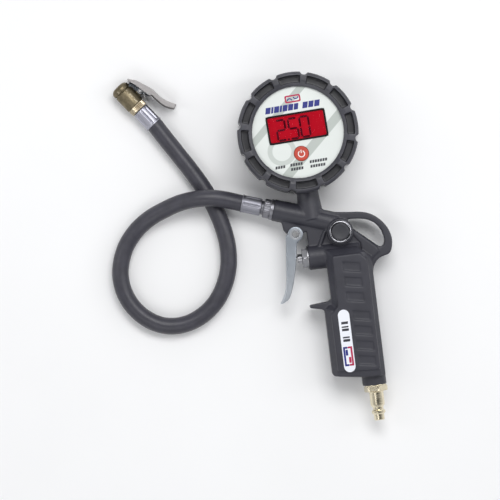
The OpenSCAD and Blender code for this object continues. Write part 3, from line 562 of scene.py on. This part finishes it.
    board = Look("board_green", (0.02, 0.12, 0.05), 0.4)
    looks["board_green"] = board.mottle(400, 0.2).grain(900, 4e-5)
    cell = Look("cell_wrap", (0.05, 0.16, 0.09), 0.3)
    looks["cell_wrap"] = cell.mottle(150, 0.15).uneven(300, 0.05)
    floor = Look("floor", (0.93, 0.93, 0.935), 0.7)
    looks["floor"] = floor.mottle(6, 0.01).grain(250, 5e-5, 0.2)
    return {name: look.mat for name, look in looks.items()}


# ---------- the hose, a tube along its route ---


def blend_point(a, b, c, d, t):
    """Catmull-Rom spline between b and c."""
    slope, bend, twist = c - a, 2 * a - 5 * b + 4 * c - d, 3 * b - a - 3 * c + d
    return 0.5 * (2 * b + slope * t + bend * t * t + twist * t ** 3)


def smooth_route(points, n):
    pts = [Vector(p) for p in points]
    out = []
    for i in range(len(pts) - 1):
        four = [pts[max(i - 1, 0)], pts[i], pts[i + 1], pts[min(i + 2, len(pts) - 1)]]
        out += [blend_point(*four, k / n) for k in range(n)]
    return out + [pts[-1]]


def tube(path, radii, sides):
    """Vertices, faces and UVs of a round tube through points, with square ends. One unit of the
    UV map is one turn of the tube both ways, so its texture isn't stretched."""
    last = len(path) - 1
    ahead = [(path[min(i + 1, last)] - path[max(i - 1, 0)]).normalized() for i in range(last + 1)]
    across = Vector((0, 0, 1)).cross(ahead[0]).normalized()
    verts, faces, uvs = [], [], []
    along, run = [0.0], 0.0
    for i, p in enumerate(path):
        across = (across - ahead[i] * across.dot(ahead[i])).normalized()
        up = ahead[i].cross(across)
        for k in range(sides):
            a = TAU * k / sides
            verts.append(p + radii[i] * (math.cos(a) * across + math.sin(a) * up))
        if i:
            run += (p - path[i - 1]).length
            along.append(run / (TAU * max(radii)))
    for i in range(last):
        for k in range(sides):
            a, b = i * sides + k, i * sides + (k + 1) % sides
            faces.append([a, b, b + sides, a + sides])
            u, w = k / sides, (k + 1) / sides
            uvs.append([(u, along[i]), (w, along[i]), (w, along[i + 1]), (u, along[i + 1])])
    for first in (0, last * sides):
        faces.append(list(range(first, first + sides)))
        uvs.append([(0.5, 0.5)] * sides)
    return verts, faces, uvs


def make_hose(looks):
    route = [on_outlet(26.2), on_outlet(28), *LOOSE_ROUTE, on_chuck(-2), on_chuck(-0.2)]
    path = [Vector(on_outlet(t)) for t in (12, 18, 24.5, 25.4)]
    path += smooth_route(route, 7)
    path += [Vector(on_chuck(t)) for t in (0.6, 1.5, 8, 14)]
    last = len(path) - 1
    radii = [TAIL_R if i < 3 or i > last - 3 else HOSE_R for i in range(last + 1)]
    verts, faces, uvs = tube(path, radii, 36)
    matrix = at(0, 0)
    ob = build("hose_tube", verts, faces, matrix, "root", looks["hose_rubber"],
               60, uvs)
    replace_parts(ob, "hose")
    line = [matrix @ p for p in path]
    length = sum((b - a).length for a, b in zip(line, line[1:]))
    return ob, line, length


make_camera()
make_studio()
LOOKS = make_looks()
HOSE, HOSE_LINE, HOSE_LENGTH = make_hose(LOOKS)

# ---------- CAD nodes that stay, with rounded edges and their materials ----------

CAST = [("gun_body", "cast_body", 0.42, 14), ("gauge_boot", "boot_rubber", 0.45, 5),
        ("trigger", "trigger_silver", 0.3, 45)]
KEPT = {
    "handle_label": "label", "trigger_pin": "steel", "trigger_pin_clip": "steel",
    "gland_washer": "plated_steel", "valve_stem": "steel", "stem_seal": "seal_rubber",
    "valve_poppet": "inner_brass", "poppet_seal": "seal_rubber",
    "bleed_stem": "inner_brass", "bleed_seal": "seal_rubber",
    "inlet_washer": "plug_brass", "gauge_case": "case_plastic", "gauge_bezel": "case_plastic",
    "face_plate": "dial_print", "display_window": "display_glass",
    "display_panel": "display_red", "circuit_board": "board_green",
    "battery_cells": "cell_wrap", "battery_cover": "case_plastic", "case_screws": "plated_steel",
    "pressure_sensor": "steel", "gauge_socket": "inner_brass", "socket_seal": "seal_rubber",
    "chuck_body": "chuck_brass", "chuck_seal": "seal_rubber", "core_pin": "inner_brass",
    "chuck_jaw": "dark_steel", "chuck_lever": "lever_steel", "lever_pin": "steel",
    "lever_spring": "steel"}
EDGE = {"chuck_body": 0.3, "chuck_lever": 0.25, "chuck_jaw": 0.2, "gauge_case": 0.4,
        "battery_cover": 0.4}
FINE_EDGE = 0.15
WELD_GAP = 2e-6


def paint(ob, look):
    ob.data.materials.clear()
    ob.data.materials.append(look)


def weld(ob):
    ob.modifiers.new("weld", "WELD").merge_threshold = WELD_GAP


def recast(ob, voxel, rounds):
    """Even skin with every edge and join rounded, as a casting or a moulding has."""
    skin = ob.modifiers.new("skin", "REMESH")
    skin.mode = "VOXEL"
    skin.voxel_size = voxel * 0.001
    skin.use_smooth_shade = True
    soft = ob.modifiers.new("soft", "SMOOTH")
    soft.factor = 0.5
    soft.iterations = rounds


def ease(ob, width):
    """Small bevel on the edges of a machined or folded piece."""
    weld(ob)
    edge = ob.modifiers.new("edge", "BEVEL")
    edge.width = width * 0.001
    edge.segments = 2
    edge.limit_method = "ANGLE"
    edge.angle_limit = math.radians(35)
    edge.use_clamp_overlap = True


for node, look, voxel, rounds in CAST:
    paint(NODES[node], LOOKS[look])
    recast(NODES[node], voxel, rounds)
for node, look in KEPT.items():
    paint(NODES[node], LOOKS[look])
    if node == "lever_spring":
        weld(NODES[node])
        NODES[node].modifiers.new("round", "SUBSURF").render_levels = 2
    else:
        ease(NODES[node], EDGE.get(node, FINE_EDGE))

# ---------- turned pieces ----------


def knurl(count, depth, low, high):
    """Shape function: even grooves along the piece between two heights."""
    def shape(z, r, a):
        if not low <= z <= high:
            return r
        return r - depth * (0.5 - 0.5 * math.cos(count * a))
    return shape


CRIMP_FADE = 1.2


def crimps(count, depth, low, high):
    """Shape function: a few wide lengthwise dents on the outside that fade out at both ends."""
    def shape(z, r, a):
        if r < SLEEVE_R - 0.5:
            return r
        ends = min(1, max(0, (z - low) / CRIMP_FADE), max(0, (high - z) / CRIMP_FADE))
        dent = max(0, math.cos(count * a)) ** 3
        return r - depth * dent * ends
    return shape


def rows_between(low, high, r, step):
    n = max(1, round((high - low) / step))
    return [(low + (high - low) * k / n, r, 0) for k in range(n + 1)]


def stand_in(node, name, profile, matrix, look, slot, **extra):
    """Turned piece that takes the place of a CAD node."""
    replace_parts(turned(name, profile, matrix, LOOKS[look], slot, **extra), node)


def make_fittings():
    # Outlet fitting: flange, knurled nut and neck
    stand_in("outlet_fitting", "outlet_nut",
             [(-11, 1.6), (-11, 5.05), (-0.1, 5.05), (0, 8.3), (2.4, 8.3), (2.9, 7.7),
              *rows_between(3.4, 7.4, 7.75, 0.5), (8, 7.2), (8.2, 5.6), (9.9, 5.5), (10.1, 3.4),
              (24, 3.4), (24, 1.6)],
             OUTLET, "outlet_steel", "plated_steel", shape=knurl(30, 0.28, 3.3, 7.5), turns=240)
    stand_in("gun_ferrule", "gun_sleeve",
             [(10, 5.6), (10, 6.6, 0.6), *rows_between(11.2, 24.4, SLEEVE_R, 1.1), (25.2, 7.25),
              (26, 7.3), (26, 6.75), (24.6, 5.6)],
             OUTLET, "outlet_aluminium", "ferrule_aluminium", shape=crimps(6, 0.9, 10.6, 25),
             turns=144)
    stand_in("chuck_ferrule", "chuck_sleeve",
             [(0, 6.75), (0, 7.3), (0.8, 7.25), *rows_between(1.6, 14.8, SLEEVE_R, 1.1),
              (16, 6.7, 0.5), (16, 5.6), (1.4, 5.6)],
             CHUCK_AXIS, "ferrule_aluminium", "ferrule_aluminium", shape=crimps(8, 0.8, 1, 15.4),
             turns=144)
    stand_in("chuck_tail", "chuck_knurl",
             [(2, 1.5), (2, 3.4), (15.9, 3.4), (16, 5.4), (16.4, 5.5), (16.5, 6.9),
              *rows_between(16.8, 21, 7.35, 0.5), (21.3, 6.9), (21.3, 5.05), (24.3, 5.05),
              (24.3, 1.5)],
             CHUCK_AXIS, "knurl_brass", "chuck_brass", shape=knurl(36, 0.5, 16.6, 21.2), turns=216)
    # Inlet plug with its hex and locking collar
    stand_in("inlet_plug", "inlet_spigot",
             [(-11, 2.6), (-11, THREAD_R), (0.9, THREAD_R), (0.9, 9.1), (1.3, 9.6, 0),
              (4.7, 9.6, 0), (5.1, 9), (5.5, 6.6), (6.2, PLUG_R), (15.9, PLUG_R), (16.9, 5.2),
              (18.1, 4.3), (19.9, 4.2), (20.9, 5.45), (22.6, 5.45), (23.8, 4.2), (28, 4.2),
              (28.5, 3.7), (28.5, 2.6)],
             INLET, "plug_brass", "plug_brass", shape=hexagon(9.6, 0.9, 5.1, math.radians(15)),
             turns=144)
    # Gland nut of the trigger valve
    stand_in("gland_nut", "gland_hex",
             [(-12.1, 2.2), (-12.1, 3.8), (-8.6, 3.8), (-8.3, 7.9), (-7.8, 8.7, 0), (-4.9, 8.7, 0),
              (-4.4, 8.2), (-4.4, THREAD_R), (11.5, THREAD_R), (11.5, 4), (1, 4), (1, 2.2)],
             VALVE, "plated_steel", "plated_steel", shape=hexagon(8.7, -8.3, -4.4), turns=144)
    # Bleed valve: chromed ring and its domed button
    stand_in("bleed_ring", "chrome_collar",
             [(22, 1.65), (22, THREAD_R), (29, THREAD_R), (29, RING_R), (32, RING_R, 0.8),
              (33.2, 8.3, 1), (33.1, 7.4, 0.5), (32.2, 7.3), (30.2, 7.3), (30.2, 1.65)],
             BUTTON, "chrome_ring", "chrome_ring", radius=0.2, turns=160)
    stand_in("bleed_button", "bleed_cap",
             [(32, 0), (32, BUTTON_R), (33.9, BUTTON_R, 0.6), (34.4, 6.2, 0.6), (34.3, 5, 0.6),
              (34.15, 3, 1), (34.12, 0)],
             BUTTON, "button_black", "button_black", body="bleed_valve", closed=False, turns=128)


make_fittings()

# ---------- springs of the two valves -----------------------------------


COIL_STEPS = 20


def make_coil(node, k, wire, turns):
    """Round wire in place of a CAD spring that lies along axis k, reaching from one end of its box
    to the other."""
    low, high = (Vector(p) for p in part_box(node))
    middle, r = (low + high) / 2, (high - low)[(k + 1) % 3] / 2 - wire
    count = COIL_STEPS * turns
    path = []
    for i in range(count + 1):
        p, a = middle.copy(), TAU * i / COIL_STEPS
        p[k] = low[k] + wire + (high[k] - low[k] - 2 * wire) * i / count
        p[(k + 1) % 3] += r * math.cos(a)
        p[(k + 2) % 3] += r * math.sin(a)
        path.append(p)
    verts, faces, uvs = tube(path, [wire] * len(path), 10)
    ob = build(node.replace("spring", "coil"), verts, faces, Matrix.Identity(4), "root",
               LOOKS["steel"], 60, uvs)
    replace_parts(ob, node)
    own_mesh(ob)


make_coil("valve_spring", 0, 0.0005, 6)
make_coil("bleed_spring", 2, 0.0004, 5)

# ---------- gauge face ----------

# Heights between which flat prints lie, on the face plate and on the label
PRINT = (PLATE_TOP - 0.02, PLATE_TOP + 0.05)
LABEL_PRINT = (LABEL_TOP - 0.02, LABEL_TOP + 0.03)


def rectangle(w, h, r, cx=0.0, cy=0.0, n=6):
    corners = [(-w / 2, -h / 2), (w / 2, -h / 2), (w / 2, h / 2), (-w / 2, h / 2)]
    return soften([(x + cx, y + cy, r) for x, y in corners], r, n)


def frame_shape(name, outer, inner, low, high, look, slot):
    """Closed frame on the gauge's face, between two outlines with equal numbers of points."""
    n = len(outer)
    verts = [(x, y, z) for z in (low, high) for x, y in outer + inner]
    faces = []
    for k in range(n):
        m = (k + 1) % n
        faces += [[k, m, n + m, n + k], [2 * n + k, 2 * n + m, 3 * n + m, 3 * n + k],
                  [k, m, 2 * n + m, 2 * n + k], [n + k, n + m, 3 * n + m, 3 * n + k]]
    return build(name, verts, faces, GAUGE, "root", look)


def slanted(x, y, w, h, lean=0.2):
    return [(x, y), (x + w, y), (x + w + lean * h, y + h), (x + lean * h, y + h)]


SEGMENTS = {"2": "abged", "5": "afgcd", "0": "abcdef"}


def digit_outlines(mark, x, y, w, h, t):
    """Seven-segment strokes of one digit, with mitred ends."""
    gap = 0.25
    half, nib = h / 2, t / 2

    def across(cy):
        a, b = x + gap, x + w - gap
        return [(a, cy), (a + nib, cy + nib), (b - nib, cy + nib),
                (b, cy), (b - nib, cy - nib), (a + nib, cy - nib)]

    def down(cx, low):
        a, b = y + low + gap, y + low + half - gap
        return [(cx, a), (cx + nib, a + nib), (cx + nib, b - nib), (cx, b),
                (cx - nib, b - nib), (cx - nib, a + nib)]

    strokes = {"a": across(y + h), "g": across(y + half), "d": across(y), "b": down(x + w, half),
               "c": down(x + w, 0), "f": down(x, half), "e": down(x, 0)}
    return [strokes[s] for s in SEGMENTS[mark]]


def arc_band(cx, cy, r, width, start, stop, n):
    """Curved stroke between two angles in degrees."""
    def side(radius, k):
        a = math.radians(start + (stop - start) * k / n)
        return cx + radius * math.cos(a), cy + radius * math.sin(a)
    return ([side(r + width / 2, k) for k in range(n + 1)]
            + [side(r - width / 2, k) for k in range(n, -1, -1)])


def printed(name, outlines, look):
    slab(name, outlines, *PRINT, GAUGE, LOOKS[look], "dial_print")


def make_display():
    w, h, up = DISPLAY_W, DISPLAY_H, DISPLAY_UP
    black = LOOKS["display_black"], "display_black"
    inner = rectangle(w - 2.6, h - 2.6, 1.3, 0, up)
    rim = frame_shape("display_rim", rectangle(w, h, 1.3, 0, up), inner,
                      36.6, PLATE_TOP + 0.02, *black)
    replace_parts(rim, "display_frame")
    frame_shape("display_lip", rectangle(w + 0.5, h + 0.6, 2.4, 0, up), inner,
                PLATE_TOP - 0.02, PLATE_TOP + 0.3, *black)
    low = up - 8.8
    strokes = []
    for mark, x in (("2", -16.2), ("5", -6.4), ("0", 2.8)):
        strokes += digit_outlines(mark, x, low, 6.9, 16, 1.6)
    strokes.append(rectangle(1.5, 1.5, 0.2, -7.9, low, 2))
    slab("lcd_strokes", strokes, 37.55, 37.62, GAUGE, LOOKS["display_segment"], "display_red")


def make_face():
    words = ((-23.2, 4), (-18.6, 1.7), (-16.3, 4), (-11.7, 1.7), (-9.4, 3.8), (-5, 4), (-0.4, 3.4),
             (6.6, 4), (11.3, 4), (16, 4.2))
    printed("title_bars", [slanted(x, 18.1, w, 4.9, 0.25) for x, w in words], "print_blue")
    frame_shape("badge_frame", rectangle(12.6, 6, 1.4, 0.2, 27), rectangle(10.2, 3.6, 0.8, 0.2, 27),
                *PRINT, LOOKS["print_red"], "dial_print")
    wave = [arc_band(-2.4, 25.4, 1.9, 0.9, 10, 170, 10),
            arc_band(2.8, 28.6, 1.9, 0.9, 190, 350, 10)]
    printed("badge_wave", wave, "print_blue")
    rows = ((-22.4, -26.3, 4), (-10.4, -26, 5), (-10.4, -29.5, 5), (5.2, -25.8, 7), (5.2, -29.5, 6))
    ticks = [slanted(x + 2.05 * k, y, 1.6, 2.2) for x, y, count in rows for k in range(count)]
    printed("range_ticks", ticks, "print_black")


def make_power_key():
    middle = GAUGE @ Matrix.Translation((0, -POWER_DOWN, 0))
    low = PLATE_TOP - 0.9
    stand_in("power_button", "power_cap",
             [(low, 0), (low, POWER_R), (low + 1.1, POWER_R, 0.3), (low + 1.5, 5.3, 0.4),
              (low + 1.42, 3, 0), (low + 1.4, 0)],
             middle, "power_red", "power_red", body="power_key", closed=False, turns=96)
    mark = [arc_band(0, -0.2, 2.5, 0.75, 122, 418, 30), rectangle(0.75, 2.6, 0.15, 0, 1.7, 2)]
    slab("power_symbol", mark, low + 1.38, low + 1.5, middle, LOOKS["power_mark"], "power_red",
         body="power_key")


def make_label():
    place = at(*LABEL_AT)
    rows = ((13.4, 2), (10.6, 1.2), (7.9, 2), (2.2, 1.2), (-0.6, 2))
    marks = [slanted(-2.7, y, 5.4, h, 0.08) for y, h in rows]
    slab("label_bars", marks, *LABEL_PRINT, place, LOOKS["print_black"], "label")
    middle, reach = -12.3, 6.95
    for name, side, look in (("label_blue", -1, "print_blue"), ("label_red", 1, "print_red")):
        shapes = [rectangle(1.5, 15.4, 0.5, side * 2.9, middle),
                  rectangle(2.2, 1.5, 0.3, side * 1.2, middle + reach),
                  rectangle(2.2, 1.5, 0.3, side * 1.2, middle - reach),
                  rectangle(1.8, 4.6, 0.5, side, middle - side * 3)]
        slab(name, shapes, *LABEL_PRINT, place, LOOKS[look], "label")


make_display()
make_face()
make_power_key()
make_label()

# ---------- floor ----------


def make_floor():
    me = bpy.data.meshes.new("floor")
    reach, drop, n = 4.0, 0.0002, 8
    steps = [reach * (2 * i / n - 1) for i in range(n + 1)]
    grid = [(x, y, -drop) for y in steps for x in steps]
    corners = [j * (n + 1) + i for j in range(n) for i in range(n)]
    cells = [(a, a + 1, a + n + 2, a + n + 1) for a in corners]
    me.from_pydata(grid, [], cells)
    me.materials.append(LOOKS["floor"])
    ob = bpy.data.objects.new("floor", me)
    bpy.context.scene.collection.objects.link(ob)


make_floor()
